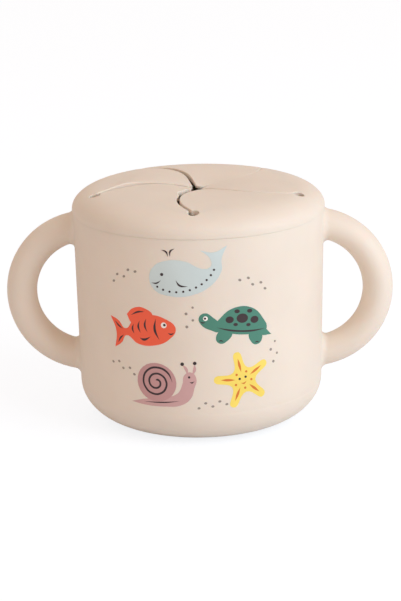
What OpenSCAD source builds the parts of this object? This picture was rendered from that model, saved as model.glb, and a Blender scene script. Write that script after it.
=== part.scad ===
// Two-handled snack cup of soft silicone, with a push-on lid whose top is
// slit into a pinwheel of petals. A small hand pushes in between the petals,
// and they spring shut again, so the snack stays in if the cup is dropped.
// +Z is up, and the handles lie along X. The origin is at the centre of the
// foot, on the surface that the cup stands on. Millimetres.

/* [Cup] */
// Height of the cup's rim, on which the lid sits
rim_h = 79.2; // [74:0.1:90]
// Outside diameter of the cup at its rim
cup_d = 93.4; // [88:0.2:98]
// How much narrower the wall's straight taper is at the table than at the rim
cup_taper_d = 2.7; // [0:0.1:5]
// Thickness of the cup's wall
wall_t = 2.4; // [2:0.1:3]
// Thickness of the cup's floor above the hollow of the foot
floor_t = 3; // [2:0.1:4]
// Diameter at which the round bottom edge meets the table
foot_d = 57; // [50:1:62]
// Height at which the round bottom edge has become the wall
corner_h = 14.5; // [10:0.5:18]
// Diameter of the shallow hollow under the foot
hollow_d = 48; // [40:1:50]
// Depth of the hollow under the foot
hollow_depth = 0.8; // [0.4:0.1:1.2]

/* [Handles] */
// Radius of each handle's round bow, measured to the middle of the grip
bow_r = 24.8; // [22:0.2:25]
// Distance of the bow's centre from the cup's axis
bow_x = 42.1; // [41:0.1:44]
// Height of the bow's centre
bow_z = 48; // [46:0.2:52]
// Thickness of the grip in the plane of the bow
grip_t = 11.3; // [9:0.1:12]
// Width of the grip across the plane of the bow
grip_w = 13.6; // [11:0.1:15]

/* [Lid] */
// Outside diameter of the lid
lid_d = 94; // [92:0.2:96]
// Height of the lid's highest ring above the cup's rim
crown_h = 9.2; // [8:0.1:11]
// Diameter of the highest ring of the crown
crown_ring_d = 47.6; // [40:0.2:56]
// How far the middle of the crown dips below its highest ring
crown_dip = 2.8; // [2:0.1:4]
// Radius at which the crown starts to turn down into the lid's edge
edge_start_r = 36; // [34:0.5:40]
// How far the turned edge falls below the crown's own curve
edge_fall = 5.9; // [5.5:0.1:6.5]
// Thickness of the lid's top and of its petals
lid_t = 2; // [1.6:0.1:2.4]
// Radius of the small round along the seam, on the lid and on the cup
seam_round = 0.6; // [0.4:0.1:0.8]
// Depth of the plug that the lid pushes into the cup's mouth
plug_depth = 9; // [7:0.5:12]
// Thickness of the plug's wall
plug_t = 1.5; // [1.4:0.1:1.6]

/* [Petals] */
// Number of petals in the pinwheel
petal_count = 5; // [5:1:5]
// Radius of the circle on which the relief holes lie
hole_circle_r = 39.2; // [38.5:0.1:40.5]
// Diameter of each relief hole, at the outer end of a slit
hole_d = 4; // [3:0.1:4]
// Turn of the whole pinwheel from the straight-ahead direction, in degrees
pinwheel_turn = -2; // [-10:0.5:10]
// Width of the slit between two petals
slit_gap = 1.3; // [1:0.1:1.6]
// Radius of each petal's round tip
tip_r = 1.2; // [0.8:0.1:1.6]

/* [Hidden] */
$fn = 96;

silicone = [0.93, 0.86, 0.77];
silicone_lid = [0.94, 0.87, 0.79];

cup_r = cup_d / 2;
lid_r = lid_d / 2;
foot_r = foot_d / 2;
corner_power = 1.95;
corner_steps = 12;
small_round_steps = 4;

// The wall's radius outside and inside at a height on its straight part.
function wall_r(z) = cup_r - cup_taper_d / 2 * (1 - z / rim_h);
function bore_r(z) = wall_r(z) - wall_t;

// A quarter of a superellipse from (x0, z0), flat, to (x1, z1), upright.
function corner(x0, z0, x1, z1, power, steps) = [
    for (i = [0:steps])
        let (a = 90 * i / steps)
        [x0 + (x1 - x0) * pow(sin(a), 2 / power), z0 + (z1 - z0) * (1 - pow(cos(a), 2 / power))]
];

// A quarter circle of radius r about (x, z), from angle a0 to a1.
function quarter(x, z, r, a0, a1) = [
    for (i = [0:small_round_steps])
        let (a = a0 + (a1 - a0) * i / small_round_steps)
        [x + r * cos(a), z + r * sin(a)]
];

cup_outside = concat(
    corner(foot_r, 0, wall_r(corner_h), corner_h, corner_power, corner_steps),
    quarter(cup_r - seam_round, rim_h - seam_round, seam_round, 0, 90)
);

inner_floor_z = hollow_depth + floor_t;
inner_corner_h = corner_h + wall_t;
inner_flat_r = foot_r - wall_t;
mouth_round = 0.5;
cup_inside = concat(
    quarter(bore_r(rim_h) + mouth_round, rim_h - mouth_round, mouth_round, 90, 180),
    [for (i = [corner_steps:-1:0])
        corner(inner_flat_r, inner_floor_z, bore_r(inner_corner_h), inner_corner_h,
               corner_power, corner_steps)[i]]
);

hollow_slope = 1;
foot_hollow = [[hollow_d / 2 - hollow_slope, hollow_depth], [hollow_d / 2, 0]];

// The cup with its round bottom edge, its open mouth and the hollow of its foot.
module cup_body() {
    color(silicone)
    rotate_extrude()
    polygon(concat(cup_outside, cup_inside, [[0, inner_floor_z], [0, hollow_depth]], foot_hollow));
}

// All the space inside the cup's outer face, to trim the handles to it.
module cup_space() {
    rotate_extrude()
    polygon(concat([[0, 0]], cup_outside, [[0, rim_h]]));
}

grip_sides = 28;
grip_section = [
    for (i = [0:grip_sides - 1])
        let (a = 360 * i / grip_sides)
        [bow_r + grip_t / 2 * cos(a), grip_w / 2 * sin(a)]
];

// One bow of oval section, standing on the cup's wall above and below.
module handle() {
    difference() {
        translate([bow_x, 0, bow_z])
        rotate([90, 0, 0])
        rotate([0, 0, -90])
        rotate_extrude(angle = 180)
        polygon(grip_section);
        cup_space();
    }
}

module handle_right() {
    color(silicone)
    handle();
}

module handle_left() {
    color(silicone)
    mirror([1, 0, 0])
    handle();
}

// Height of the lid's top face at a radius: a shallow dished crown, turned
// down in a soft edge.
crown_ring_r = crown_ring_d / 2;
edge_power = 1.8;
function crown_z(r) = rim_h + crown_h - crown_dip * pow(r / crown_ring_r - 1, 2);
function edge_drop(r) =
    let (q = max(0, r - edge_start_r) / (lid_r - edge_start_r))
    edge_fall * (1 - pow(1 - pow(q, edge_power), 1 / edge_power));
function top_z(r) = crown_z(r) - edge_drop(r);

crown_steps = 10;
edge_steps = 9;
edge_bottom_z = top_z(lid_r);
crown_face = [
    for (i = [0:crown_steps])
        let (r = edge_start_r * i / crown_steps)
        [r, top_z(r)]
];
edge_face = [
    for (i = [1:edge_steps])
        let (r = edge_start_r + (lid_r - edge_start_r) * sin(90 * i / edge_steps))
        [r, top_z(r)]
];

plug_clearance = 0.3;
bead_clearance = 0.1;
plug_outer_r = bore_r(rim_h) - plug_clearance;
plug_inner_r = plug_outer_r - plug_t;
under_edge_r = plug_inner_r - 2;
under_edge_z = rim_h + 3.5;
under_face = [
    for (i = [crown_steps:-1:0])
        let (r = under_edge_r * i / crown_steps)
        [r, top_z(r) - lid_t]
];

// The lid's top and edge as one round solid, before its middle is cut out.
module lid_blank() {
    rotate_extrude()
    polygon(concat(
        crown_face, edge_face,
        quarter(lid_r - seam_round, rim_h + seam_round, seam_round, 0, -90),
        [[plug_inner_r, rim_h], [plug_inner_r, under_edge_z]],
        under_face
    ));
}

petal_step = 360 / petal_count;
first_hole = 270 + pinwheel_turn;
hinge_distance = hole_circle_r * cos(petal_step / 2);
hinge_length = 2 * hole_circle_r * sin(petal_step / 2);
hinge_z = rim_h + 6.9;
hinge_roll_r = 1.9;
hinge_clearance = 0.5;
hinge_end_inset = 0.5;
reach = 60;

// One round hole through the lid at the outer end of a slit.
module relief_hole(angle) {
    rotate([0, 0, angle])
    translate([hole_circle_r, 0, rim_h - 1])
    cylinder(d = hole_d, h = 2 * crown_h);
}

// The space that a petal's rolled hinge edge turns in, between two holes.
module hinge_space(angle, r, length) {
    rotate([0, 0, angle])
    translate([hinge_distance, 0, hinge_z])
    rotate([90, 0, 0])
    cylinder(r = r, h = length, center = true);
}

// The ring round the petals, which sits on the cup's rim.
module lid_rim() {
    color(silicone_lid)
    difference() {
        lid_blank();
        rotate([0, 0, first_hole])
        translate([0, 0, rim_h - 1])
        cylinder(r = hole_circle_r, h = 2 * crown_h, $fn = 5);
        for (i = [0:petal_count - 1]) {
            relief_hole(first_hole + petal_step * i);
            hinge_space(first_hole + petal_step * (i + 0.5), hinge_roll_r + hinge_clearance,
                        hinge_length - 2 * hinge_end_inset);
        }
    }
}

// Two soft beads round the plug grip the cup's bore. They are drawn just
// clear of it, and the real ones press against it.
bead_h = 1.6;
bead_places = [-2.6, -6.2];
plug_lip = 0.8;
function plug_r(z) = plug_outer_r - (bore_r(rim_h) - bore_r(z));
function bead(z) = [
    [plug_r(z + bead_h / 2), z + bead_h / 2],
    [plug_r(z) + plug_clearance - bead_clearance, z],
    [plug_r(z - bead_h / 2), z - bead_h / 2]
];
module lid_plug() {
    plug_bottom_z = rim_h - plug_depth;
    color(silicone_lid)
    rotate_extrude()
    polygon(concat(
        [[plug_inner_r, rim_h], [plug_r(rim_h), rim_h]],
        bead(rim_h + bead_places[0]),
        bead(rim_h + bead_places[1]),
        [
            [plug_r(plug_bottom_z), plug_bottom_z + plug_lip],
            [plug_r(plug_bottom_z) - plug_lip / 2, plug_bottom_z],
            [plug_inner_r, plug_bottom_z]
        ]
    ));
}

// The slit's middle line: it leaves its relief hole aslant and sweeps round
// clockwise on its way in to the middle of the lid. Its turn from the hole's
// own direction, in degrees, over the share of the way in.
slit_sweep = 47;
slit_ease = 9;
slit_return = 28.5;
function slit_turn(share) =
    slit_sweep * share - slit_ease * pow(share, 2) - slit_return * pow(share, 3);
function on_slit(r, hole) =
    let (a = hole - slit_turn(1 - r / hole_circle_r))
    [r * cos(a), r * sin(a)];
function unit(v) = v / norm(v);
function slit_left(r, hole) =
    let (d = unit(on_slit(r - 0.01, hole) - on_slit(r + 0.01, hole)))
    [-d[1], d[0]];

// A point on the edge of a slit, side 1 to its left as it runs inwards, and
// -1 to its right.
function slit_edge(r, hole, side) = on_slit(r, hole) + side * slit_gap / 2 * slit_left(r, hole);

slit_steps = 14;
tip_steps = 5;
slit_turn_in = slit_turn(1);
tip_reach = (slit_gap / 2 + tip_r) / sin(petal_step / 2);
tip_start = (slit_gap / 2 + tip_r) / tan(petal_step / 2);

// A petal's outline seen from above, between the slit at one hole and the
// slit at the next one round.
function petal_outline(hole) =
    let (
        next = hole + petal_step,
        tip_angle = hole + petal_step / 2 - slit_turn_in,
        tip_centre = tip_reach * [cos(tip_angle), sin(tip_angle)],
        tip_span = 180 - petal_step,
        out_r = hole_circle_r + 4
    )
    concat(
        [for (i = [0:slit_steps])
            slit_edge(tip_start + (hole_circle_r - tip_start) * i / slit_steps, hole, -1)],
        [out_r * [cos(hole), sin(hole)], out_r * [cos(next), sin(next)]],
        [for (i = [slit_steps:-1:0])
            slit_edge(tip_start + (hole_circle_r - tip_start) * i / slit_steps, next, 1)],
        [for (i = [1:tip_steps - 1])
            let (a = tip_angle + 180 - tip_span / 2 + tip_span * i / tip_steps)
            tip_centre + tip_r * [cos(a), sin(a)]]
    );

// Everything inwards of a petal's hinge line, with the rolled edge that
// turns against the ring.
module hinge_side(angle) {
    rotate([0, 0, angle])
    translate([hinge_distance - reach, -reach / 2, rim_h - 1])
    cube([reach, reach, 2 * crown_h]);
    hinge_space(angle, hinge_roll_r, hinge_length - 2 * hinge_end_inset);
}

// One petal of the pinwheel, hinged on the straight line between two holes.
module petal(index) {
    hole = first_hole + petal_step * index;
    color(silicone_lid)
    difference() {
        intersection() {
            lid_blank();
            hinge_side(hole + petal_step / 2);
            translate([0, 0, rim_h])
            linear_extrude(2 * crown_h)
            polygon(petal_outline(hole));
        }
        relief_hole(hole);
        relief_hole(hole + petal_step);
    }
}

module petal_front_right() { petal(0); }
module petal_right() { petal(1); }
module petal_back() { petal(2); }
module petal_left() { petal(3); }
module petal_front_left() { petal(4); }

cup_body();
handle_left();
handle_right();
lid_rim();
lid_plug();
petal_front_left();
petal_front_right();
petal_right();
petal_back();
petal_left();
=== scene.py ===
import math
from collections import namedtuple

import bmesh
import bpy
import numpy as np
from bpy.props import FloatProperty, FloatVectorProperty, IntProperty, PointerProperty
from bpy.types import Operator, Panel, PropertyGroup
from mathutils import Matrix, Vector


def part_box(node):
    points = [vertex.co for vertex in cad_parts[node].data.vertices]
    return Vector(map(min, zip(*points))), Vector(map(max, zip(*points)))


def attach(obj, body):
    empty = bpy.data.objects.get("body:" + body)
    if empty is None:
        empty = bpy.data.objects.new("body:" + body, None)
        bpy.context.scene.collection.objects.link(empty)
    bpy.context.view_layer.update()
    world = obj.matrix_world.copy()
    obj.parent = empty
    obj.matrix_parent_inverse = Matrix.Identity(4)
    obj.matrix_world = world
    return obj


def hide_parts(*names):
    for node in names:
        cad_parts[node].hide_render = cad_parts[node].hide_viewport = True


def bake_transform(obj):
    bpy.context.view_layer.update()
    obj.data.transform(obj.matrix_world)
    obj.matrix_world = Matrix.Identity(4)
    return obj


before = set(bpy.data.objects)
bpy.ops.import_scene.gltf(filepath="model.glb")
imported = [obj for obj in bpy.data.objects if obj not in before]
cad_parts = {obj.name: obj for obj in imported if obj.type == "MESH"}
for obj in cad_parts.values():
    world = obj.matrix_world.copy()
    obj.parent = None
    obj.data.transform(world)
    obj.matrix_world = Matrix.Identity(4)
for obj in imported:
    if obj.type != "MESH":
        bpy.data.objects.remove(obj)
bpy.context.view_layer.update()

bl_info = {
    "name": "Snack cup with petal lid",
    "version": (1, 0, 0),
    "blender": (4, 5, 0),
    "location": "3D View > Sidebar > Snack Cup",
    "description": "Builds a two-handled silicone snack cup and its slit lid round the packed model",
    "category": "Add Mesh",
}

MM = 0.001
CUP_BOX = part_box("cup_body")
LID_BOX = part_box("lid_rim")
RIM_HEIGHT = CUP_BOX[1][2]
CUP_RADIUS = CUP_BOX[1][0]
LID_RADIUS = LID_BOX[1][0]


# ---------------------------------------------------------------- settings

class CupSizes(PropertyGroup):
    """Sizes of the cup and its handles."""

    wall: FloatProperty(
        name="Wall", description="Thickness of the cup's wall",
        default=2.4 * MM, unit="LENGTH")
    taper: FloatProperty(
        name="Taper", description="How much smaller the wall's radius is at the table than at the rim",
        default=1.35 * MM, unit="LENGTH")
    foot_radius: FloatProperty(
        name="Foot radius", description="Where the round bottom edge meets the table",
        default=28.5 * MM, unit="LENGTH")
    corner_height: FloatProperty(
        name="Corner height", description="Height at which the round bottom edge becomes the wall",
        default=14.5 * MM, unit="LENGTH")
    bow_radius: FloatProperty(
        name="Bow radius", description="Radius of each handle, to the middle of its grip",
        default=25.1 * MM, unit="LENGTH")
    bow_out: FloatProperty(
        name="Bow out", description="Distance of the bow's centre from the cup's axis",
        default=41.8 * MM, unit="LENGTH")
    bow_height: FloatProperty(
        name="Bow height", description="Height of the bow's centre",
        default=48 * MM, unit="LENGTH")
    grip_thick: FloatProperty(
        name="Grip thickness", description="Thickness of the grip in the plane of the bow",
        default=11.3 * MM, unit="LENGTH")
    grip_wide: FloatProperty(
        name="Grip width", description="Width of the grip across the plane of the bow",
        default=13.6 * MM, unit="LENGTH")
    root_fillet: FloatProperty(
        name="Root fillet", description="Radius of the fillet where a handle leaves the wall",
        default=2.1 * MM, unit="LENGTH")


class LidSizes(PropertyGroup):
    """Sizes of the lid and its petals."""

    crown: FloatProperty(
        name="Crown", description="Height of the crown's highest ring above the cup's rim",
        default=9.2 * MM, unit="LENGTH")
    crown_ring: FloatProperty(
        name="Crown ring", description="Radius of the crown's highest ring",
        default=23.8 * MM, unit="LENGTH")
    dip: FloatProperty(
        name="Dip", description="How far the middle dips below the highest ring",
        default=2.3 * MM, unit="LENGTH")
    edge_start: FloatProperty(
        name="Edge start", description="Radius at which the crown turns down",
        default=36 * MM, unit="LENGTH")
    edge_fall: FloatProperty(
        name="Edge fall", description="How far the turned edge falls",
        default=5.9 * MM, unit="LENGTH")
    thick: FloatProperty(
        name="Thickness", description="Thickness of the top and the petals",
        default=2.3 * MM, unit="LENGTH")
    hole_circle: FloatProperty(
        name="Hole circle", description="Radius of the circle of the relief holes",
        default=39.2 * MM, unit="LENGTH")
    hole_radius: FloatProperty(
        name="Hole radius", description="Radius of each relief hole",
        default=2 * MM, unit="LENGTH")
    slit: FloatProperty(
        name="Slit", description="Width of the slit between two petals",
        default=1.3 * MM, unit="LENGTH")
    edge_round: FloatProperty(
        name="Edge round", description="Radius along the edges of slits and holes",
        default=0.35 * MM, unit="LENGTH")
    turn: FloatProperty(
        name="Turn", description="Direction of the first relief hole",
        default=math.radians(268), subtype="ANGLE")
    petals: IntProperty(name="Petals", description="Number of petals", default=5)


class Colours(PropertyGroup):
    """Colour of the silicone."""

    silicone: FloatVectorProperty(
        name="Silicone", description="Warm cream of the cup and the lid",
        subtype="COLOR", default=(0.83, 0.725, 0.62))


def ink_property(name, description, colour):
    """A colour that a user can change."""
    return FloatVectorProperty(name=name, description=description, subtype="COLOR", default=colour)


class Inks(PropertyGroup):
    """Colours of the print's inks."""

    coral: ink_property("Coral", "The fish", (0.94, 0.134, 0.065))
    mauve: ink_property("Mauve", "The snail", (0.64, 0.385, 0.375))
    plum: ink_property("Plum", "The snail's shell", (0.575, 0.315, 0.31))
    green: ink_property("Green", "The turtle", (0.076, 0.241, 0.176))
    yellow: ink_property("Yellow", "The starfish", (0.95, 0.72, 0.14))
    orange: ink_property("Orange", "The starfish's lines", (0.70, 0.20, 0.035))
    blue: ink_property("Blue", "The whale", (0.62, 0.705, 0.70))
    charcoal: ink_property("Charcoal", "Lines, spots and eyes", (0.05, 0.034, 0.037))
    cream: ink_property("Cream", "The whites of the eyes", (0.95, 0.90, 0.84))
    stone: ink_property("Stone", "The dotted trails", (0.33, 0.28, 0.235))


class Studio(PropertyGroup):
    """The camera and its distance."""

    distance: FloatProperty(
        name="Distance", description="Distance of the camera from its aim",
        default=800 * MM, unit="LENGTH")
    aim_height: FloatProperty(
        name="Aim height", description="Height at which the camera is aimed",
        default=42.7 * MM, unit="LENGTH")
    elevation: FloatProperty(
        name="Elevation", description="How far the camera looks down",
        default=math.radians(16.3), subtype="ANGLE")
    azimuth: FloatProperty(
        name="Azimuth", description="How far the camera stands to the right of straight ahead",
        default=math.radians(0.7), subtype="ANGLE")
    roll: FloatProperty(
        name="Roll", description="How far the camera is tilted sideways",
        default=math.radians(1.05), subtype="ANGLE")


# ---------------------------------------------------------------- materials

def node_of(tree, kind, **inputs):
    """Adds a shader node and sets its named inputs."""
    node = tree.nodes.new(kind)
    for name, value in inputs.items():
        node.inputs[name.replace("_", " ")].default_value = value
    return node


def moulded_skin_group():
    """Colour, roughness and height of moulded silicone: faint clouds and a fine mould grain."""
    tree = bpy.data.node_groups.new("Moulded skin", "ShaderNodeTree")
    face = tree.interface
    colour = face.new_socket("Colour", in_out="INPUT", socket_type="NodeSocketColor")
    colour.default_value = (0.8, 0.7, 0.6, 1)
    for name, value in (("Cloud size", 55), ("Cloud strength", 0.035), ("Grain size", 2600),
                        ("Roughness", 0.55)):
        socket = face.new_socket(name, in_out="INPUT", socket_type="NodeSocketFloat")
        socket.default_value = value
    face.new_socket("Colour", in_out="OUTPUT", socket_type="NodeSocketColor")
    face.new_socket("Roughness", in_out="OUTPUT", socket_type="NodeSocketFloat")
    face.new_socket("Height", in_out="OUTPUT", socket_type="NodeSocketFloat")

    enter = tree.nodes.new("NodeGroupInput")
    leave = tree.nodes.new("NodeGroupOutput")
    place = tree.nodes.new("ShaderNodeTexCoord")
    link = tree.links.new

    clouds = node_of(tree, "ShaderNodeTexNoise", Detail=3, Roughness=0.5)
    link(place.outputs["Object"], clouds.inputs["Vector"])
    link(enter.outputs["Cloud size"], clouds.inputs["Scale"])
    shade = node_of(tree, "ShaderNodeMapRange", From_Min=0.3, From_Max=0.7, To_Min=-1, To_Max=1)
    link(clouds.outputs["Fac"], shade.inputs["Value"])
    strength = tree.nodes.new("ShaderNodeMath")
    strength.operation = "MULTIPLY_ADD"
    strength.inputs[2].default_value = 1
    link(shade.outputs["Result"], strength.inputs[0])
    link(enter.outputs["Cloud strength"], strength.inputs[1])
    tint = tree.nodes.new("ShaderNodeVectorMath")
    tint.operation = "SCALE"
    link(enter.outputs["Colour"], tint.inputs[0])
    link(strength.outputs["Value"], tint.inputs["Scale"])
    link(tint.outputs["Vector"], leave.inputs["Colour"])

    grain = node_of(tree, "ShaderNodeTexNoise", Detail=2, Roughness=0.6)
    link(place.outputs["Object"], grain.inputs["Vector"])
    link(enter.outputs["Grain size"], grain.inputs["Scale"])
    link(grain.outputs["Fac"], leave.inputs["Height"])
    worn = tree.nodes.new("ShaderNodeMath")
    worn.operation = "MULTIPLY_ADD"
    worn.inputs[1].default_value = 0.12
    link(grain.outputs["Fac"], worn.inputs[0])
    link(enter.outputs["Roughness"], worn.inputs[2])
    link(worn.outputs["Value"], leave.inputs["Roughness"])
    return tree


def skin_material(name, colour, cloud=0.018, roughness=0.5, bump=0.04 * MM, sheen=0.08, soft=0.0):
    """A matte material over the shared moulded skin. Soft is how much light sinks into it."""
    group = bpy.data.node_groups.get("Moulded skin") or moulded_skin_group()
    material = bpy.data.materials.new(name)
    material.use_nodes = True
    material.diffuse_color = (*colour, 1)
    tree = material.node_tree
    shader = tree.nodes["Principled BSDF"]
    skin = tree.nodes.new("ShaderNodeGroup")
    skin.node_tree = group
    skin.inputs["Colour"].default_value = (*colour, 1)
    skin.inputs["Cloud strength"].default_value = cloud
    skin.inputs["Roughness"].default_value = roughness
    relief = node_of(tree, "ShaderNodeBump", Strength=0.5, Distance=bump)
    link = tree.links.new
    link(skin.outputs["Height"], relief.inputs["Height"])
    link(skin.outputs["Colour"], shader.inputs["Base Color"])
    link(skin.outputs["Roughness"], shader.inputs["Roughness"])
    link(relief.outputs["Normal"], shader.inputs["Normal"])
    shader.inputs["Specular IOR Level"].default_value = 0.35
    shader.inputs["Sheen Weight"].default_value = sheen
    shader.inputs["Sheen Roughness"].default_value = 0.5
    shader.inputs["Subsurface Weight"].default_value = soft
    shader.inputs["Subsurface Radius"].default_value = (1.0, 0.45, 0.25)
    shader.inputs["Subsurface Scale"].default_value = 2 * MM
    return material


def silicone_material():
    """The cream silicone, made once and shared by every moulded piece."""
    return bpy.data.materials.get("Cream silicone") or skin_material(
        "Cream silicone", tuple(bpy.context.scene.cup_colours.silicone), soft=0.2)


# ---------------------------------------------------------------- mesh helpers

def add_piece(bm, name, body, nodes, material=None):
    """Turns a finished bmesh into an object that rides on a body and stands for CAD nodes."""
    mesh = bpy.data.meshes.new(name)
    bm.to_mesh(mesh)
    bm.free()
    piece = bpy.data.objects.new(name, mesh)
    bpy.context.scene.collection.objects.link(piece)
    mesh.materials.append(material or silicone_material())
    if body:
        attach(piece, body)
    if nodes:
        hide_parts(*nodes)
    return piece


def shade_smooth(bm, sharp_angle=math.radians(50)):
    """Smooth faces, with sharp edges where two faces meet steeply."""
    for face in bm.faces:
        face.smooth = True
    for edge in bm.edges:
        edge.smooth = len(edge.link_faces) == 2 and edge.calc_face_angle(0) < sharp_angle


def spun_profile(points, steps):
    """A closed solid of revolution round the cup's axis, from (radius, height) points."""
    bm = bmesh.new()
    verts = [bm.verts.new((radius, 0, height)) for radius, height in points]
    edges = [bm.edges.new(pair) for pair in zip(verts, verts[1:])]
    if points[0][0] > 0:
        edges.append(bm.edges.new((verts[-1], verts[0])))
    bmesh.ops.spin(bm, geom=verts + edges, axis=(0, 0, 1), cent=(0, 0, 0),
                   angle=math.tau, steps=steps, use_merge=True)
    bmesh.ops.remove_doubles(bm, verts=bm.verts, dist=1e-6 * MM)
    bmesh.ops.recalc_face_normals(bm, faces=bm.faces)
    return bm


def arc_points(centre, radius, start, end, steps):
    """Points of an arc in the profile's plane, in degrees."""
    turns = [math.radians(start + (end - start) * i / steps) for i in range(steps + 1)]
    return [(centre[0] + radius * math.cos(a), centre[1] + radius * math.sin(a)) for a in turns]


def eased(value, low, high):
    """0 below low, 1 above high, and a smooth step between."""
    share = min(1, max(0, (value - low) / (high - low)))
    return share * share * (3 - 2 * share)


# ---------------------------------------------------------------- the cup

# Power of the round bottom edge. With 2 it would be a quarter of an ellipse.
CORNER_POWER = 1.95


def wall_radius(height):
    """Radius of the cup's outer face on its straight part."""
    return CUP_RADIUS - bpy.context.scene.cup_sizes.taper * (1 - height / RIM_HEIGHT)


def outer_radius(height, sizes):
    """Radius of the cup's outer face at any height, down to the foot."""
    if height >= sizes.corner_height:
        return wall_radius(height)
    turn = math.acos((1 - height / sizes.corner_height) ** (CORNER_POWER / 2))
    wide = wall_radius(sizes.corner_height) - sizes.foot_radius
    return sizes.foot_radius + wide * math.sin(turn) ** (2 / CORNER_POWER)


def bottom_corner(start, end, steps):
    """A soft quarter turn from flat at start to upright at end."""
    points = []
    for i in range(steps + 1):
        a = math.radians(90 * i / steps)
        points.append((start[0] + (end[0] - start[0]) * math.sin(a) ** (2 / CORNER_POWER),
                       start[1] + (end[1] - start[1]) * (1 - math.cos(a) ** (2 / CORNER_POWER))))
    return points


def cup_profile(sizes):
    """The cup's section from the middle of its foot, up outside and down inside to its floor."""
    hollow_depth, hollow_radius, hollow_slope = 0.8 * MM, 24 * MM, 1 * MM
    top_soft, top_drop = 0.3 * MM, 0.05 * MM
    foot_soft, foot_lift, foot_flat_end = 0.1 * MM, 0.06 * MM, 1 * MM
    floor_height = 3.8 * MM
    seam_round, mouth_round = 0.22 * MM, 0.5 * MM
    line_height, line_depth, line_half = 13.7 * MM, 0.07 * MM, 0.35 * MM
    corner_top = sizes.corner_height
    bore = CUP_RADIUS - sizes.wall
    inner_top = corner_top + sizes.wall

    hollow_top = hollow_radius - hollow_slope
    foot = [(0, hollow_depth), (hollow_radius / 2, hollow_depth), (hollow_top - top_soft, hollow_depth),
            (hollow_top, hollow_depth - top_drop), (hollow_radius - foot_soft, foot_lift),
            (hollow_radius + foot_soft, 0), (sizes.foot_radius - foot_flat_end, 0)]
    corner = bottom_corner((sizes.foot_radius, 0), (wall_radius(corner_top), corner_top), 30)
    corner = [point for point in corner if point[1] < line_height - 1.5 * line_half]
    line = [(outer_radius(line_height + shift, sizes) - depth, line_height + shift)
            for shift, depth in ((-line_half, 0), (0, line_depth), (line_half, 0))]
    wall_bottom, wall_top, bore_bottom = corner_top + 2 * MM, RIM_HEIGHT - 1 * MM, inner_top + 6 * MM
    wall = [(wall_radius(h), h) for h in np.linspace(wall_bottom, wall_top, 9)]
    rim = arc_points((CUP_RADIUS - seam_round, RIM_HEIGHT - seam_round), seam_round, 0, 90, 6)
    mouth = arc_points((bore + mouth_round, RIM_HEIGHT - mouth_round), mouth_round, 90, 180, 5)
    bore_wall = [(wall_radius(h) - sizes.wall, h) for h in np.linspace(wall_top, bore_bottom, 5)]
    inner = bottom_corner((sizes.foot_radius - sizes.wall, floor_height),
                          (wall_radius(inner_top) - sizes.wall, inner_top), 20)
    return foot + corner + line + wall + rim + mouth + bore_wall + inner[::-1] + [(0, floor_height)]


class CUP_OT_body(Operator):
    """Spins the cup with its round bottom edge, its mouth and the hollow of its foot"""
    bl_idname = "snack_cup.body"
    bl_label = "Cup body"

    def execute(self, context):
        bm = spun_profile(cup_profile(context.scene.cup_sizes), 256)
        shade_smooth(bm)
        add_piece(bm, "cup_shell", "cup", ["cup_body"])
        return {"FINISHED"}


def handle_mesh(sizes, side):
    """One bow of oval section, flared where it meets the wall and closed inside it."""
    around, steps, crowding = 40, 96, 0.75
    fillet, buried, skirt = sizes.root_fillet, 1.2 * MM, 0.03 * MM
    ceiling, soft_top = RIM_HEIGHT - 0.35 * MM, 0.6 * MM
    bm = bmesh.new()
    ring = bmesh.ops.create_circle(bm, cap_ends=False, segments=around, radius=1)["verts"]
    bmesh.ops.transform(bm, verts=ring, matrix=Matrix.Diagonal(
        (sizes.grip_thick / 2, sizes.grip_wide / 2, 1, 1)))
    bmesh.ops.translate(bm, verts=ring, vec=(sizes.bow_radius, 0, 0))
    bmesh.ops.rotate(bm, verts=ring, cent=(0, 0, 0), matrix=Matrix.Rotation(math.radians(-90), 3, "Y"))
    bmesh.ops.spin(bm, geom=bm.verts[:] + bm.edges[:], axis=(0, 1, 0), cent=(0, 0, 0),
                   angle=math.pi, steps=steps, use_merge=False)
    bmesh.ops.holes_fill(bm, edges=[e for e in bm.edges if e.is_boundary], sides=0)
    centre = Vector((sizes.bow_out, 0, sizes.bow_height))
    # The rings crowd towards the wall. Near it they flare along a quarter circle, stay below the
    # cup's rim, and end inside the wall.
    for vert in bm.verts:
        lean = math.atan2(vert.co.x, vert.co.z)
        share = lean / math.pi
        eased_lean = math.pi * (share - crowding * math.sin(math.tau * share) / math.tau)
        vert.co = Matrix.Rotation(eased_lean - lean, 3, "Y") @ vert.co + centre
        axis_point = centre + Vector((math.sin(eased_lean), 0, math.cos(eased_lean))) * sizes.bow_radius
        out = math.hypot(vert.co.x, vert.co.y) - wall_radius(vert.co.z)
        if out < fillet:
            swing = math.pi / 2 * max(out, 0) / fillet
            vert.co += (vert.co - axis_point).normalized() * fillet * (1 - math.sin(swing))
            height = fillet * (1 - math.cos(swing)) - skirt + max(min(out, 0), skirt - buried)
            above = vert.co.z - (ceiling - soft_top)
            if above > 0:
                vert.co.z = ceiling - soft_top * math.exp(-above / soft_top)
            reach = wall_radius(vert.co.z) + height
            vert.co.x = math.sqrt(reach * reach - vert.co.y * vert.co.y)
    bmesh.ops.remove_doubles(bm, verts=bm.verts, dist=1e-4 * MM)
    if side < 0:
        bmesh.ops.scale(bm, verts=bm.verts, vec=(-1, 1, 1))
    bmesh.ops.recalc_face_normals(bm, faces=bm.faces)
    return bm


class CUP_OT_handles(Operator):
    """Spins the two bows and flares them into the wall"""
    bl_idname = "snack_cup.handles"
    bl_label = "Handles"

    def execute(self, context):
        for side, name in ((1, "handle_right"), (-1, "handle_left")):
            bm = handle_mesh(context.scene.cup_sizes, side)
            shade_smooth(bm, math.radians(60))
            add_piece(bm, name + "_bow", "cup", [name])
        return {"FINISHED"}


# ---------------------------------------------------------------- the lid's shape

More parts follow.
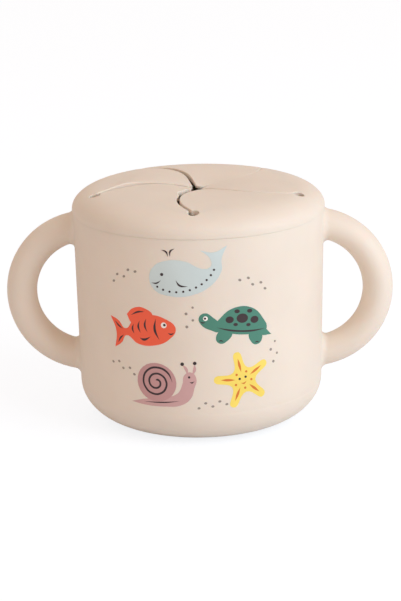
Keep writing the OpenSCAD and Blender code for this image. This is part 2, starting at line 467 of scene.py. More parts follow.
# How far outside the hinge lines the petals leave the ring.
SEAM_OUT = 1.5 * MM
# Power of the lid's turned edge. With 2 it would be a quarter of an ellipse.
SHOULDER = 2.2
PLUG_INSIDE, PLUG_OUTSIDE = 42.5 * MM, 44 * MM
# Turns in degrees that a slit's way in is made of.
SLIT_SWEEP, SLIT_EASE, SLIT_RETURN = 47, 9, 28.5


def top_height(radius, lid):
    """Height of the lid's top face: a shallow dished crown, turned down in a soft edge."""
    crown = RIM_HEIGHT + lid.crown - lid.dip * (radius / lid.crown_ring - 1) ** 2
    q = min(1, max(0, radius - lid.edge_start) / (LID_RADIUS - lid.edge_start))
    return crown - lid.edge_fall * (1 - (1 - q ** SHOULDER) ** (1 / SHOULDER))


def under_height(radius, lid):
    """Height of the lid's lower face, down to the inside of the plug."""
    bend, plug_height = 40.5 * MM, RIM_HEIGHT + 3.5 * MM
    if radius <= bend:
        return top_height(radius, lid) - lid.thick
    start = top_height(bend, lid) - lid.thick
    return start + (plug_height - start) * min(1, (radius - bend) / (PLUG_INSIDE - bend))


def rounding(distance, radius):
    """How far the face has fallen this near to an edge rounded to a radius."""
    near = max(0, radius - max(0, distance))
    return radius - math.sqrt(radius ** 2 - near ** 2)


def slit_turn(share):
    """The slit's turn from its hole's direction, over the share of the way in."""
    return math.radians(SLIT_SWEEP * share - SLIT_EASE * share ** 2 - SLIT_RETURN * share ** 3)


def slit_point(radius, hole, side, half_gap, lid):
    """A point on one edge of the slit that starts at the hole's angle: 1 left, -1 right, on the way in."""
    short = 0.01 * MM

    def middle(r):
        angle = hole - slit_turn(1 - r / lid.hole_circle)
        return np.array((r * math.cos(angle), r * math.sin(angle)))

    along = middle(radius - short) - middle(radius + short)
    along /= np.linalg.norm(along)
    return middle(radius) + side * half_gap * np.array((-along[1], along[0]))


# ---------------------------------------------------------------- the lid's ring and plug

def ring_inner_radius(angle, lid):
    """Where the ring ends: just outside the hinge lines, and on the far side of each relief hole."""
    step = math.tau / lid.petals
    off = (angle - lid.turn + step / 2) % step - step / 2
    seam = (lid.hole_circle * math.cos(step / 2) + SEAM_OUT) / math.cos(step / 2 - abs(off))
    square = lid.hole_radius ** 2 - (lid.hole_circle * math.sin(off)) ** 2
    if square <= 0:
        return seam, False
    hole = lid.hole_circle * math.cos(off) + math.sqrt(square)
    return max(seam, hole), hole > seam


def hole_distance(x, y, lid):
    """Distance of a point outside the nearest relief hole's edge."""
    step = math.tau / lid.petals
    angle = math.atan2(y, x) - lid.turn
    off = (angle + step / 2) % step - step / 2
    radius = math.hypot(x, y)
    return math.hypot(radius * math.cos(off) - lid.hole_circle, radius * math.sin(off)) - lid.hole_radius


def ring_mesh(lid):
    """The ring of the lid, from a plain spun section whose inner stations then move out to the holes."""
    fixed_top, seat = 43.6 * MM, 45.2 * MM
    seam_round, edge_steps, steps_per_petal = 0.22 * MM, 12, 185
    near, near_reach, under_gap = [n * MM for n in (0, 0.09, 0.2, 0.34, 0.6, 1.1)], 1.6 * MM, 0.03 * MM
    top_shares, under_shares = (0.3, 0.5, 0.7, 0.85), (0.75, 0.45, 0.2)
    edge_turns = [math.radians(90 * i / edge_steps) for i in range(edge_steps + 1)]
    edge_radii = [fixed_top + (LID_RADIUS - fixed_top) * math.sin(turn) for turn in edge_turns]
    outline = [(r, top_height(r, lid)) for r in edge_radii]
    outline += arc_points((LID_RADIUS - seam_round, RIM_HEIGHT + seam_round), seam_round, 0, -90, 6)
    outline += [(seat, RIM_HEIGHT)] + [(PLUG_INSIDE, RIM_HEIGHT + rise) for rise in (0, 1.6 * MM, 3.1 * MM)]
    moved = len(outline)
    stations = [("under", s) for s in under_shares] + [("under_near", n) for n in near[::-1]]
    stations += [("top_near", n) for n in near] + [("top", s) for s in top_shares]
    start, apart = 34 * MM, 0.01 * MM
    placeholder = [(start + apart * i, RIM_HEIGHT + apart * i) for i in range(len(stations))]

    bm = bmesh.new()
    layer = bm.verts.layers.int.new("station")
    verts = []
    for i, (radius, height) in enumerate(outline + placeholder):
        vert = bm.verts.new((radius, 0, height))
        vert[layer] = i
        verts.append(vert)
    edges = [bm.edges.new(pair) for pair in zip(verts, verts[1:] + verts[:1])]
    bmesh.ops.spin(bm, geom=verts + edges, axis=(0, 0, 1), cent=(0, 0, 0),
                   angle=math.tau, steps=steps_per_petal * lid.petals, use_merge=True)
    bmesh.ops.rotate(bm, verts=bm.verts, cent=(0, 0, 0), matrix=Matrix.Rotation(lid.turn, 3, "Z"))
    on_hole = {}
    for vert in bm.verts:
        index = vert[layer] - moved
        if index < 0:
            continue
        angle = math.atan2(vert.co.y, vert.co.x)
        inner, is_hole = ring_inner_radius(angle, lid)
        kind, amount = stations[index]
        limit = PLUG_INSIDE - under_gap if kind.startswith("under") else fixed_top
        squeeze = min(1, (limit - inner) / near_reach)
        if kind.endswith("near"):
            radius = inner + amount * squeeze
        else:
            last_near = inner + near[-1] * squeeze
            radius = last_near + (limit - last_near) * amount
        x, y = radius * math.cos(angle), radius * math.sin(angle)
        drop = rounding(hole_distance(x, y, lid), lid.edge_round)
        if kind.startswith("under"):
            height = under_height(radius, lid) + drop
        else:
            height = top_height(radius, lid) - drop
        vert.co = (x, y, height)
        on_hole[vert] = is_hole
    bmesh.ops.recalc_face_normals(bm, faces=bm.faces)
    shade_smooth(bm, math.radians(60))
    lips = {moved + stations.index(("top_near", 0)), moved + stations.index(("under_near", 0))}
    for edge in bm.edges:
        first, second = edge.verts
        if first[layer] == second[layer] and first[layer] in lips:
            edge.smooth = on_hole[first] or on_hole[second]
    return bm


class CUP_OT_lid_ring(Operator):
    """Spins the lid's ring and opens its relief holes"""
    bl_idname = "snack_cup.lid_ring"
    bl_label = "Lid ring"

    def execute(self, context):
        add_piece(ring_mesh(context.scene.lid_sizes), "lid_ring", "lid", ["lid_rim"])
        return {"FINISHED"}


class CUP_OT_lid_plug(Operator):
    """Spins the plug with its two seal beads"""
    bl_idname = "snack_cup.lid_plug"
    bl_label = "Lid plug"

    def execute(self, context):
        bottom, halfway = RIM_HEIGHT - 9 * MM, RIM_HEIGHT - 5 * MM
        bead_out, bead_half, bead_power = 0.2 * MM, 0.8 * MM, 0.7
        outer_round, inner_round = 0.6 * MM, 0.3 * MM

        def face(height):
            return PLUG_OUTSIDE - context.scene.cup_sizes.taper * (1 - height / RIM_HEIGHT)

        profile = [(PLUG_INSIDE, RIM_HEIGHT), (face(RIM_HEIGHT), RIM_HEIGHT)]
        for bead_depth in (2.6 * MM, 6.2 * MM):
            for share in (1, 0.75, 0.5, 0.25, 0, -0.25, -0.5, -0.75, -1):
                height = RIM_HEIGHT - bead_depth + bead_half * share
                bulge = bead_out * math.cos(math.radians(90 * share)) ** bead_power if abs(share) < 1 else 0
                profile.append((face(height) + bulge, height))
        profile += arc_points((face(bottom) - outer_round, bottom + outer_round), outer_round, 0, -90, 5)
        profile += arc_points((PLUG_INSIDE + inner_round, bottom + inner_round), inner_round, -90, -180, 3)
        profile += [(PLUG_INSIDE, halfway)]
        bm = spun_profile(profile, 192)
        shade_smooth(bm)
        add_piece(bm, "lid_plug_wall", "lid", ["lid_plug"])
        return {"FINISHED"}


# ---------------------------------------------------------------- the petals

# Each petal's name, the lift in mm of its leading side, its trailing side and its tip, the share
# of the slit that stays open along the leading and the trailing side, and in mm the radius of
# its tip, the round along its trailing edge and the notch in that edge. It leads at its own hole.
Petal = namedtuple("Petal", "name lead trail tip lead_open trail_open tip_radius trail_round notch")
PETALS = (
    Petal("petal_front_right", 0.0, 0.0, 0.25, 1.0, 0.1, 1.6, 0.35, 0.0),
    Petal("petal_right", 0.1, 0.1, 0.2, 0.1, 0.05, 0.4, 0.35, 0.0),
    Petal("petal_back", 0.0, 0.3, 0.0, 0.05, 1.0, 2.6, 0.35, 0.0),
    Petal("petal_left", 0.0, 1.0, 0.0, 1.0, 0.8, 2.4, 0.6, 0.0),
    Petal("petal_front_left", -0.3, 0.0, 1.3, 0.8, 0.7, 6.0, 0.35, 1.7),
)


# A slit has its full width at the petals' tips and at its relief hole, and closes over these lengths.
CLOSING_IN, CLOSING_OUT = 8 * MM, 4 * MM
# Distances from the lid's middle at which a notch starts, is deepest and ends, and the share of it
# that goes on to the tip.
NOTCH_START, NOTCH_DEEPEST, NOTCH_END, NOTCH_LEAST = 10.5 * MM, 13.5 * MM, 19 * MM, 0.4
# How much thinner a petal is at its tip, and the length over which it thins.
THINNING, THINNING_REACH = 1.1 * MM, 12 * MM
ARC_POINTS, SLIT_POINTS, TIP_POINTS = 60, 400, 24


def arc_of(centre, radius, start, turn, shares):
    """Points in the lid's plane at some shares of an arc, whose start and turn are in radians."""
    return [centre + radius * np.array((math.cos(start + turn * share), math.sin(start + turn * share)))
            for share in shares]


def petal_sides(index, lid):
    """A petal's two sides as points from its hinge seam to the end of its tip, and its inward direction."""
    step = math.tau / lid.petals
    hole = lid.turn + step * index
    middle = hole + step / 2
    inward = -np.array((math.cos(middle), math.sin(middle)))
    petal = PETALS[index]
    tip_radius = petal.tip_radius * MM
    half_gap = lid.slit / 2
    tip_distance = (half_gap + tip_radius) / math.sin(step / 2)
    tip_start = (half_gap + tip_radius) / math.tan(step / 2)
    tip_angle = middle - slit_turn(1)
    tip_centre = tip_distance * np.array((math.cos(tip_angle), math.sin(tip_angle)))
    end_turn = math.atan2(inward[1], inward[0])
    sides = []
    for side, at, share_open, notch in ((-1, hole, petal.lead_open, 0),
                                        (1, hole + step, petal.trail_open, petal.notch * MM)):
        centre = lid.hole_circle * np.array((math.cos(at), math.sin(at)))
        slit = []
        for radius in np.linspace(lid.hole_circle, tip_start, SLIT_POINTS):
            closing = eased(radius, tip_start, tip_start + CLOSING_IN)
            closing *= eased(lid.hole_circle - radius, 0, CLOSING_OUT)
            notched = max(NOTCH_LEAST, eased(radius, NOTCH_START, NOTCH_DEEPEST))
            notched *= 1 - eased(radius, NOTCH_DEEPEST, NOTCH_END)
            gap = half_gap * (1 - (1 - share_open) * closing) + notch * notched
            slit.append(slit_point(radius, at, side, gap, lid))
        slit = np.array(slit)
        slit = slit[np.linalg.norm(slit - centre, axis=1) >= lid.hole_radius]
        seam_turn = middle - side * math.acos(SEAM_OUT / lid.hole_radius)
        first = slit[0] - centre
        slit_at = math.atan2(first[1], first[0])
        span = (slit_at - seam_turn) % math.tau if side < 0 else -((seam_turn - slit_at) % math.tau)
        arc = arc_of(centre, lid.hole_radius, seam_turn, span, [i / ARC_POINTS for i in range(ARC_POINTS)])
        last = slit[-1] - tip_centre
        tip_from = math.atan2(last[1], last[0])
        turn = (end_turn - tip_from + math.pi) % math.tau - math.pi
        tip = arc_of(tip_centre, tip_radius, tip_from, turn,
                     [(i + 1) / TIP_POINTS for i in range(TIP_POINTS)])
        sides.append(np.array(arc + list(slit) + tip))
    return sides, inward


def growing(half, first, count):
    """Distances from 0 to half whose steps grow from about first."""
    if half <= first * count:
        return [half * i / count for i in range(count + 1)]
    low, high = 1.0001, 3.0
    for _ in range(50):
        ratio = (low + high) / 2
        if first * (ratio ** count - 1) / (ratio - 1) > half:
            high = ratio
        else:
            low = ratio
    total = (ratio ** count - 1) / (ratio - 1)
    return [half * (ratio ** i - 1) / (ratio - 1) / total for i in range(count + 1)]


def petal_mesh(index, lid):
    """One petal: a grid laid between its two sides, then given its thickness and rounded edges."""
    (left, right), inward = petal_sides(index, lid)
    hinge = lid.hole_circle * math.cos(math.pi / lid.petals)
    depth_left = left @ inward + hinge
    depth_right = right @ inward + hinge
    tip_depth = depth_left[-1]
    # Rows of the grid, by their depth inside the hinge line: even turns along the relief hole's
    # arc, then the start of the slit, even steps along it, and closer ones at the round tip.
    arc_first, arc_turn, arc_rows = -138.6, 10.25, 13
    even_start, even_rows, tip_length, tip_rows = 5 * MM, 27, 1 * MM, 9
    depths = [lid.hole_radius * math.cos(math.radians(arc_first + arc_turn * i)) for i in range(arc_rows)]
    depths[0] = -SEAM_OUT
    depths.append(float(depth_right[ARC_POINTS]))
    depths += [depth * MM for depth in (2.15, 2.5, 3, 3.6, 4.3)]
    depths += list(np.linspace(even_start, tip_depth - tip_length, even_rows))
    depths += [tip_depth - tip_length * (1 - math.sin(math.radians(90 * (i + 1) / tip_rows)))
               for i in range(tip_rows)]
    depths = sorted(set(round(float(d), 8) for d in depths))
    depths[-1] = tip_depth - 0.002 * MM
    rows = len(depths) + 1
    half_columns, first_column = 18, 0.09 * MM
    tucked_in, tucked_down = 0.6 * MM, 0.08 * MM
    edge_inset = 0.2 * MM

    bm = bmesh.new()
    bmesh.ops.create_grid(bm, x_segments=2 * half_columns, y_segments=rows - 1, size=1)
    bmesh.ops.translate(bm, verts=bm.verts, vec=(0, 0, 3))
    bmesh.ops.extrude_face_region(bm, geom=bm.faces[:])
    walls = [e for e in bm.edges if (e.verts[0].co - e.verts[1].co).length < 1e-9]
    bm.verts.ensure_lookup_table()
    half = len(bm.verts) // 2
    for vert in bm.verts[half:]:
        vert.co.z = 0
    bmesh.ops.subdivide_edges(bm, edges=walls, cuts=2, use_grid_fill=False)

    outline = np.vstack((left[::-1], right))
    flat = {}
    for row in range(rows):
        depth = depths[max(0, row - 1)]
        a = np.array([np.interp(depth, depth_left, left[:, k]) for k in (0, 1)])
        b = np.array([np.interp(depth, depth_right, right[:, k]) for k in (0, 1)])
        width = np.linalg.norm(b - a)
        offsets = growing(width / 2, first_column, half_columns)
        shares = [o / width for o in offsets] + [1 - o / width for o in offsets[-2::-1]]
        for column, share in enumerate(shares):
            point = a + (b - a) * share
            if row == 0:
                point = point - inward * tucked_in
            flat[row, column] = (point, share, depth)
    petal = PETALS[index]
    for vert in bm.verts:
        column = round((vert.co.x + 1) * half_columns)
        row = round((vert.co.y + 1) / 2 * (rows - 1))
        level = round(vert.co.z)
        point, share, depth = flat[row, column]
        gap = float(np.min(np.linalg.norm(outline - point, axis=1)))
        if row <= 1:
            gap = max(hole_distance(point[0], point[1], lid), 0)
        radius = float(np.linalg.norm(point))
        side_lift = petal.lead * (1 - share) ** 2 + petal.trail * share ** 2
        lift = MM * (side_lift * eased(depth, 0.5 * MM, 7 * MM) + petal.tip * eased(depth, 12 * MM, 30 * MM))
        round_radius = lid.edge_round + (petal.trail_round * MM - lid.edge_round) * eased(share, 0.5, 0.9)
        high = top_height(radius, lid) + lift - rounding(gap, round_radius)
        thinner = THINNING * eased(depth, tip_depth - THINNING_REACH, tip_depth)
        low = under_height(radius, lid) + thinner + lift + rounding(gap, lid.edge_round)
        if row == 0:
            high -= tucked_down
        height = {3: high, 2: high - edge_inset, 1: low + edge_inset, 0: low}[level]
        vert.co = (point[0], point[1], height)
    bmesh.ops.recalc_face_normals(bm, faces=bm.faces)
    shade_smooth(bm, math.radians(60))
    return bm, inward, hinge


class CUP_OT_petals(Operator):
    """Lays out the five petals of the pinwheel, each tucked in under the ring at its hinge"""
    bl_idname = "snack_cup.petals"
    bl_label = "Petals"

    def execute(self, context):
        lid = context.scene.lid_sizes
        for index, petal in enumerate(PETALS):
            bm, inward, hinge = petal_mesh(index, lid)
            piece = add_piece(bm, petal.name + "_flap", None, [petal.name])
            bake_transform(piece)
        return {"FINISHED"}


# ---------------------------------------------------------------- the print

def stroke(*points, width=0.6):
    """The outline of a brush stroke through some points, pointed at both ends."""
    line = [Vector(point) for point in points]
    left, right = [], []
    for before, here, after in zip(line, line[1:], line[2:]):
        along = (after - before).normalized() * width / 2
        left.append((here.x - along.y, here.y + along.x))
        right.append((here.x + along.y, here.y - along.x))
    return [(*line[0], "point"), *left, (*line[-1], "point"), *right[::-1]]


def dot(x, y, radius, stretch=1.0):
    """The outline of a round or oval spot."""
    return [(x + radius * stretch, y), (x, y + radius), (x - radius * stretch, y), (x, y - radius)]


def spiral(x, y, outer, inner, turns, width):
    """A stroke that winds inwards."""
    count = 20
    places = []
    for i in range(count + 1):
        radius = outer + (inner - outer) * i / count
        angle = math.tau * turns * i / count
        places.append((x + radius * math.cos(angle), y + radius * math.sin(angle)))
    return stroke(*places, width=width)


def star(arms, outer, inner):
    """A soft star's outline, its first arm up."""
    return [((outer, inner)[i % 2] * math.sin(math.pi * i / arms),
             (outer, inner)[i % 2] * math.cos(math.pi * i / arms)) for i in range(2 * arms)]


def arm_lines(arms, start, end, width):
    """A short stroke along each arm of a star."""
    radii = (start, (start + end) / 2, end)
    turns = [math.tau * i / arms for i in range(arms)]
    return [stroke(*[(r * math.sin(a), r * math.cos(a)) for r in radii], width=width) for a in turns]


# Each motif lists its inks with their outlines in mm, in the order they are printed. An outline
# is a closed smooth line through its points, with a corner where a point says so.
MOTIFS = {
    "fish": [
        ("coral", [(3.6, 3.9), (1.6, 6.6), (-2.2, 6.9), (-4.8, 5.2, "point"), (-3.4, 2.4)]),
        ("coral", [(9.8, -0.3), (7.4, 2.8), (2.4, 4.6), (-2.8, 3.5), (-6.3, 1.0), (-8.3, 3.4),
                   (-11.2, 4.9, "point"), (-9.9, 0.2), (-11.4, -4.5, "point"), (-8.4, -3.1), (-6.3, -1.1),
                   (-2.8, -3.7), (2.4, -4.6), (7.4, -3.2)]),
        ("charcoal", stroke((4.5, 3.4), (3.5, 0.1), (4.3, -3.2), width=0.75)),
        ("charcoal", stroke((1.5, 3.6), (0.6, 1.6), (1.0, -0.5), width=0.6)),
        ("charcoal", stroke((-0.8, 3.1), (-1.6, 1.3), (-1.2, -0.6), width=0.6)),
        ("charcoal", stroke((-3.0, 2.3), (-3.7, 0.8), (-3.4, -0.7), width=0.55)),
        ("charcoal", stroke((1.8, -1.9), (-0.6, -2.6), (-1.8, -2.0), width=0.7)),
        ("charcoal", stroke((-7.2, 0.9), (-8.6, 1.9), (-9.8, 3.4), width=0.5)),
        ("charcoal", stroke((-7.2, -0.9), (-8.7, -1.8), (-9.9, -3.2), width=0.5)),
        ("charcoal", stroke((9.2, -1.5), (8.1, -1.8), (7.2, -1.3), width=0.45)),
        ("charcoal", stroke((1.4, 5.6), (-0.8, 5.7), (-3.4, 4.9), width=0.5)),
        ("cream", dot(6.5, 1.1, 0.85)),
        ("charcoal", dot(6.7, 1.15, 0.4)),
    ],
    "snail": [
        ("mauve", [(-10.8, -5.3, "point"), (-6.2, -4.2), (0, -3.4), (4.6, -2.2), (6.4, 0.8), (7.2, 3.6),
                   (9.2, 4.4), (10.7, 2.6), (9.9, -0.8), (8.6, -3.9), (5.6, -5.9), (0, -6.3), (-6.2, -6.0)]),
        ("mauve", stroke((8.2, 3.6), (7.9, 5.4), (6.8, 7.0), width=0.9)),
        ("mauve", stroke((9.6, 3.4), (10.4, 5.2), (10.5, 7.0), width=0.9)),
        ("plum", dot(-1.8, 1.3, 6.1, 1.04)),
        ("charcoal", spiral(-1.8, 1.3, 5.2, 0.7, 2.3, 0.62)),
        ("charcoal", stroke((5.2, -4.6), (0, -5.0), (-6.6, -5.0), width=0.4)),
        ("charcoal", stroke((10.1, 1.6), (9.3, 1.1), (8.6, 1.4), width=0.4)),
        ("charcoal", dot(6.8, 7.1, 0.55)),
        ("charcoal", dot(10.6, 7.2, 0.55)),
        ("charcoal", dot(8.6, 2.9, 0.36)),
    ],
    "turtle": [
        ("green", [(-6.8, 0.2), (-9.0, 2.1), (-11.6, 3.2), (-13.2, 1.6), (-12.2, -0.5), (-9.2, -1.9),
                   (-6.4, -2.0)]),
        ("green", [(-6.0, -1.6), (-7.4, -4.4), (-6.2, -5.8), (-4.2, -5.2), (-2.8, -1.8)]),
        ("green", [(3.0, -1.8), (3.9, -5.2), (5.9, -5.8), (7.3, -4.3), (6.3, -1.5)]),
        ("green", [(6.8, -0.9), (10.6, -2.9, "point"), (6.4, -2.4)]),
        ("green", [(-8.0, -1.5), (-6.4, 2.6), (-2.7, 5.5), (2.3, 5.7), (6.5, 2.7), (8.4, -1.5), (4.2, -2.5),
                   (-3.6, -2.5)]),
        ("charcoal", dot(0.0, 2.3, 1.45, 1.25)),
        ("charcoal", dot(-3.9, 1.7, 1.05, 1.2)),
        ("charcoal", dot(4.0, 1.9, 1.1, 1.2)),
        ("charcoal", dot(-1.9, 4.4, 0.6, 1.4)),
        ("charcoal", dot(2.1, 4.6, 0.6, 1.4)),
        ("charcoal", dot(-1.9, 0.3, 0.5, 1.4)),
        ("charcoal", dot(2.2, 0.3, 0.5, 1.4)),
        ("charcoal", stroke((-7.6, -0.9), (-3.8, -1.5), (0.2, -1.7), (4.2, -1.5), (8.0, -0.9), width=0.5)),
        ("charcoal", stroke((-6.6, -5.2), (-5.8, -4.9), (-5.0, -5.2), width=0.4)),
        ("charcoal", stroke((4.9, -5.3), (5.7, -5.0), (6.5, -5.2), width=0.4)),
        ("charcoal", stroke((-12.8, 0.6), (-11.9, 0.2), (-11.0, 0.5), width=0.4)),
        ("cream", dot(-11.2, 1.6, 0.72)),
        ("charcoal", dot(-11.35, 1.6, 0.35)),
    ],
    "starfish": [
        ("yellow", star(5, 8.8, 3.9)),
        *[("orange", line) for line in arm_lines(5, 2.4, 6.8, 0.75)],
        *[("orange", dot(2.6 * math.sin(a), 2.6 * math.cos(a), 0.36)) for a in
          [math.tau * (i + 0.5) / 5 for i in range(5)]],
        ("charcoal", dot(-0.95, 0.6, 0.36)),
        ("charcoal", dot(0.95, 0.6, 0.36)),
        ("orange", stroke((-0.9, -0.7), (0, -1.15), (0.9, -0.7), width=0.4)),
    ],
    "whale": [
        ("blue", [(-11.0, 0.4), (-9.4, 4.0), (-5.0, 5.8), (0.8, 5.0), (5.4, 2.3), (7.7, 2.6), (8.0, 5.0),
                  (5.4, 8.0, "point"), (9.4, 6.9), (13.4, 8.4, "point"), (11.4, 4.8), (10.8, 0.8),
                  (7.4, -3.0), (1.6, -5.3), (-5.2, -5.1), (-9.8, -2.9)]),
        *[("charcoal", dot(x, y, 0.34)) for x, y in
          ((-8.8, -2.0), (-7.1, -3.0), (-5.2, -3.7), (-3.2, -4.0), (-1.1, -4.0), (0.9, -3.7), (2.8, -3.1),
           (4.6, -2.3), (6.2, -1.2), (7.6, 0.1), (8.7, 1.6))],
        ("charcoal", stroke((-2.9, -0.3), (-2.0, -2.0), (0.5, -2.6), width=0.6)),
        ("charcoal", stroke((-10.5, -0.7), (-8.9, -0.9), (-7.4, -0.1), width=0.45)),
        ("charcoal", dot(-6.9, 1.7, 0.48)),
        ("charcoal", stroke((-4.3, 7.0), (-4.7, 8.5), (-6.1, 9.2), width=0.5)),
        ("charcoal", stroke((-3.7, 7.0), (-3.4, 8.6), (-2.0, 9.3), width=0.5)),
    ],
    "trail": [("stone", dot(x, y, 0.42, 1.35)) for x, y in
              ((0, 0), (2.6, 1.7), (5.1, 0.2), (7.8, 1.8), (10.3, 0.4))],
    "bubbles": [("stone", dot(x, y, r)) for x, y, r in
                ((0, 0, 0.5), (1.9, 2.5, 0.42), (-0.5, 4.6, 0.5), (1.6, 7.0, 0.38))],
}

# Each motif's place: millimetres round the wall to the right of the front, height of its middle,
# turn in degrees and scale.
LAYOUT = (
    ("whale", -4.5, 65.0, 6, 1.2),
    ("fish", -20.5, 44.5, 10, 1.25),
    ("turtle", 15.5, 46.5, -7, 1.2),
    ("snail", -14.0, 24.0, 3, 1.2),
    ("starfish", 16.0, 26.0, 14, 1.25),
    ("trail", -33.0, 61.5, 24, 1.05),
    ("bubbles", -4.3, 47.0, -4, 1.05),
    ("trail", 15.0, 63.5, -26, 1.05),
    ("bubbles", 28.6, 31.0, 8, 1.05),
    ("trail", -35.0, 30.5, -20, 1.0),
    ("trail", -0.5, 16.2, 4, 1.0),
)


# The radius that the layout's millimetres are measured on, how deep each film reaches into the wall,
# how far the first film stands out of it and how much further each next one does.
PRINT_RADIUS = 46.3 * MM
FILM_SUNK, FILM_TOP, FILM_STEP = 0.05 * MM, 0.035 * MM, 0.003 * MM


def printed_film(outline, place, top):
    """One closed film of ink: an outline filled flat, cut into narrow strips and laid round the wall."""
    across, up, turn, scale = place
    curve = bpy.data.curves.new("ink_outline", "CURVE")
    curve.dimensions, curve.fill_mode, curve.resolution_u = "2D", "BOTH", 7
    spline = curve.splines.new("BEZIER")
    spline.bezier_points.add(len(outline) - 1)
    for knot, (x, y, *kind) in zip(spline.bezier_points, outline):
        knot.co = (x, y, 0)
        knot.handle_left_type = knot.handle_right_type = "VECTOR" if kind else "AUTO"
    spline.use_cyclic_u = True
    holder = bpy.data.objects.new("ink_outline", curve)
    bm = bmesh.new()
    bm.from_mesh(holder.to_mesh())
    bpy.data.objects.remove(holder)
    bpy.data.curves.remove(curve)

    bmesh.ops.transform(bm, verts=bm.verts, matrix=Matrix.Translation((across * MM, up * MM, 0))
                        @ Matrix.Rotation(math.radians(turn), 4, "Z") @ Matrix.Scale(scale * MM, 4))
    low = min(v.co.x for v in bm.verts)
    high = max(v.co.x for v in bm.verts)
    for cut in range(math.ceil(low / MM), math.floor(high / MM) + 1):
        bmesh.ops.bisect_plane(bm, geom=bm.verts[:] + bm.edges[:] + bm.faces[:], dist=1e-4 * MM,
                               plane_co=(cut * MM, 0, 0), plane_no=(1, 0, 0))
    raised = bmesh.ops.extrude_face_region(bm, geom=bm.faces[:])["geom"]
    raised = [part for part in raised if isinstance(part, bmesh.types.BMVert)]
    bmesh.ops.translate(bm, verts=raised, vec=(0, 0, top + FILM_SUNK))
    for vert in bm.verts:
        turn = vert.co.x / PRINT_RADIUS
        reach = wall_radius(vert.co.y) + vert.co.z - FILM_SUNK
        vert.co = (reach * math.sin(turn), -reach * math.cos(turn), vert.co.y)
    bmesh.ops.recalc_face_normals(bm, faces=bm.faces)
    return bm


class CUP_OT_print(Operator):
    """Prints the sea animals and their dotted trails on the front of the cup"""
    bl_idname = "snack_cup.print"
    bl_label = "Print"

    def execute(self, context):
        inks = context.scene.cup_inks
        films = {}
        for motif, *place in LAYOUT:
            for order, (ink, outline) in enumerate(MOTIFS[motif]):
                film = printed_film(outline, place, FILM_TOP + FILM_STEP * order)
                sheet = bpy.data.meshes.new("film")
                film.to_mesh(sheet)
                film.free()
                films.setdefault(ink, bmesh.new()).from_mesh(sheet)
                bpy.data.meshes.remove(sheet)
        for ink, bm in films.items():
            material = skin_material("Ink " + ink, tuple(getattr(inks, ink)), cloud=0.05, roughness=0.58,
                                     bump=0.02 * MM, sheen=0.0)
            add_piece(bm, "print_" + ink, "cup", None, material=material)
        return {"FINISHED"}


# ---------------------------------------------------------------- the studio

FLOOR_HALF, FLOOR_COLOUR, FLOOR_SHARE = 3, (0.84, 0.86, 0.89), 0.3
ROOM_COLOUR, ROOM_STRENGTH = (1.0, 0.83, 0.72), 0.70
LAMP_PLACE, LAMP_AIM, LAMP_SIZE = (0.95, -0.6, 0.62), (0, 0, 0.05), (0.9, 0.9)
LAMP_POWER, LAMP_COLOUR = 9.1, (0.81, 0.99, 1.15)


def camera_floor_material(name, colour, share):
    """Plain white to the camera, with a share of the lit surface so that shadows stay."""
    material = bpy.data.materials.new(name)
    material.use_nodes = True
    tree = material.node_tree
    shader = tree.nodes["Principled BSDF"]
    shader.inputs["Base Color"].default_value = (*colour, 1)
    shader.inputs["Roughness"].default_value = 0.9
    shader.inputs["Specular IOR Level"].default_value = 0.1
    glow = node_of(tree, "ShaderNodeEmission", Color=(0.985, 1.0, 1.02, 1), Strength=1.17)
    mix = tree.nodes.new("ShaderNodeMixShader")
    path = tree.nodes.new("ShaderNodeLightPath")
    seen = tree.nodes.new("ShaderNodeMath")
    seen.operation = "MULTIPLY"
    seen.inputs[1].default_value = 1 - share
    link = tree.links.new
    link(path.outputs["Is Camera Ray"], seen.inputs[0])
    link(seen.outputs["Value"], mix.inputs["Fac"])
    link(shader.outputs["BSDF"], mix.inputs[1])
    link(glow.outputs["Emission"], mix.inputs[2])
    link(mix.outputs["Shader"], tree.nodes["Material Output"].inputs["Surface"])
    return material


def add_lamp(name, place, aim, size, power, colour):
    """An area lamp aimed at a point."""
    lamp = bpy.data.lights.new(name, "AREA")
    lamp.shape = "RECTANGLE"
    lamp.size, lamp.size_y = size
    lamp.energy = power
    lamp.color = colour
    holder = bpy.data.objects.new(name, lamp)
    bpy.context.scene.collection.objects.link(holder)
    holder.location = place
    holder.rotation_euler = (Vector(aim) - Vector(place)).to_track_quat("-Z", "Y").to_euler()


def add_camera(studio):
    """The camera at the photograph's angle."""
    shift_right, shift_up = 0.17 * MM, 0.565 * MM
    camera = bpy.data.cameras.new("view_camera")
    camera.sensor_width = 36
    camera.lens = 127.1
    camera.clip_start = 0.01
    holder = bpy.data.objects.new("view_camera", camera)
    bpy.context.scene.collection.objects.link(holder)
    right = Vector((math.cos(studio.azimuth), math.sin(studio.azimuth), 0))
    ahead = Vector((-right.y, right.x, 0))
    up = ahead * math.sin(studio.elevation) + Vector((0, 0, math.cos(studio.elevation)))
    back = right.cross(up)
    turned_right = right * math.cos(studio.roll) - up * math.sin(studio.roll)
    turned_up = right * math.sin(studio.roll) + up * math.cos(studio.roll)
    place = Vector((0, 0, studio.aim_height)) + back * studio.distance
    place += turned_right * shift_right + turned_up * shift_up
    holder.matrix_world = Matrix.Translation(place) @ Matrix(
        (turned_right, turned_up, back)).transposed().to_4x4()
    bpy.context.scene.camera = holder


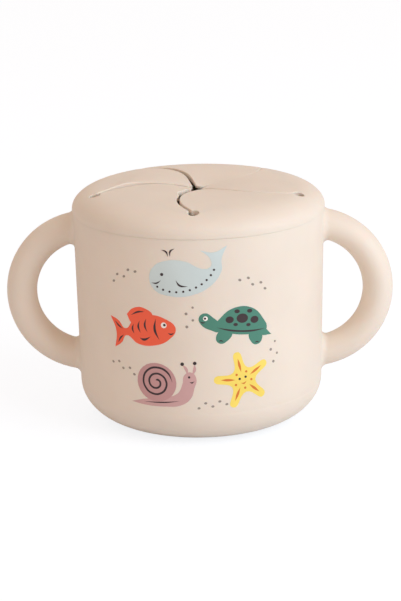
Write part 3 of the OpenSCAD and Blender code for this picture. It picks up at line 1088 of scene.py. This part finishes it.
class CUP_OT_studio(Operator):
    """Lays the pale floor, hangs the key lamp and sets the camera"""
    bl_idname = "snack_cup.studio"
    bl_label = "Studio"

    def execute(self, context):
        bm = bmesh.new()
        bmesh.ops.create_grid(bm, x_segments=4, y_segments=4, size=FLOOR_HALF)
        mesh = bpy.data.meshes.new("floor")
        bm.to_mesh(mesh)
        bm.free()
        mesh.materials.append(camera_floor_material("Pale floor", FLOOR_COLOUR, FLOOR_SHARE))
        floor = bpy.data.objects.new("floor", mesh)
        context.scene.collection.objects.link(floor)

        world = bpy.data.worlds.new("Pale room")
        context.scene.world = world
        world.use_nodes = True
        tree = world.node_tree
        room = tree.nodes["Background"]
        room.inputs["Color"].default_value = (*ROOM_COLOUR, 1)
        room.inputs["Strength"].default_value = ROOM_STRENGTH
        white = node_of(tree, "ShaderNodeBackground", Color=(1, 1, 1, 1), Strength=1)
        mix = tree.nodes.new("ShaderNodeMixShader")
        path = tree.nodes.new("ShaderNodeLightPath")
        tree.links.new(path.outputs["Is Camera Ray"], mix.inputs["Fac"])
        tree.links.new(room.outputs["Background"], mix.inputs[1])
        tree.links.new(white.outputs["Background"], mix.inputs[2])
        tree.links.new(mix.outputs["Shader"], tree.nodes["World Output"].inputs["Surface"])

        add_lamp("key_lamp", LAMP_PLACE, LAMP_AIM, LAMP_SIZE, LAMP_POWER, LAMP_COLOUR)
        add_camera(context.scene.cup_studio)
        context.scene.view_settings.view_transform = "Standard"
        return {"FINISHED"}


class CUP_PT_panel(Panel):
    """Lists the cup's pieces in the sidebar"""
    bl_idname = "CUP_PT_panel"
    bl_label = "Snack Cup"
    bl_space_type = "VIEW_3D"
    bl_region_type = "UI"
    bl_category = "Snack Cup"

    def draw(self, context):
        column = self.layout.column(align=True)
        for operator in OPERATORS:
            column.operator(operator.bl_idname)


OPERATORS = (CUP_OT_studio, CUP_OT_body, CUP_OT_print, CUP_OT_handles, CUP_OT_lid_ring, CUP_OT_lid_plug,
             CUP_OT_petals)
CLASSES = (CupSizes, LidSizes, Colours, Inks, Studio, *OPERATORS, CUP_PT_panel)


def register():
    for kind in CLASSES:
        bpy.utils.register_class(kind)
    bpy.types.Scene.cup_sizes = PointerProperty(type=CupSizes)
    bpy.types.Scene.lid_sizes = PointerProperty(type=LidSizes)
    bpy.types.Scene.cup_colours = PointerProperty(type=Colours)
    bpy.types.Scene.cup_inks = PointerProperty(type=Inks)
    bpy.types.Scene.cup_studio = PointerProperty(type=Studio)


def unregister():
    del bpy.types.Scene.cup_studio
    del bpy.types.Scene.cup_inks
    del bpy.types.Scene.cup_colours
    del bpy.types.Scene.lid_sizes
    del bpy.types.Scene.cup_sizes
    for kind in reversed(CLASSES):
        bpy.utils.unregister_class(kind)


def main():
    register()
    for operator in OPERATORS:
        group, name = operator.bl_idname.split(".")
        getattr(getattr(bpy.ops, group), name)()


if __name__ == "__main__":
    main()
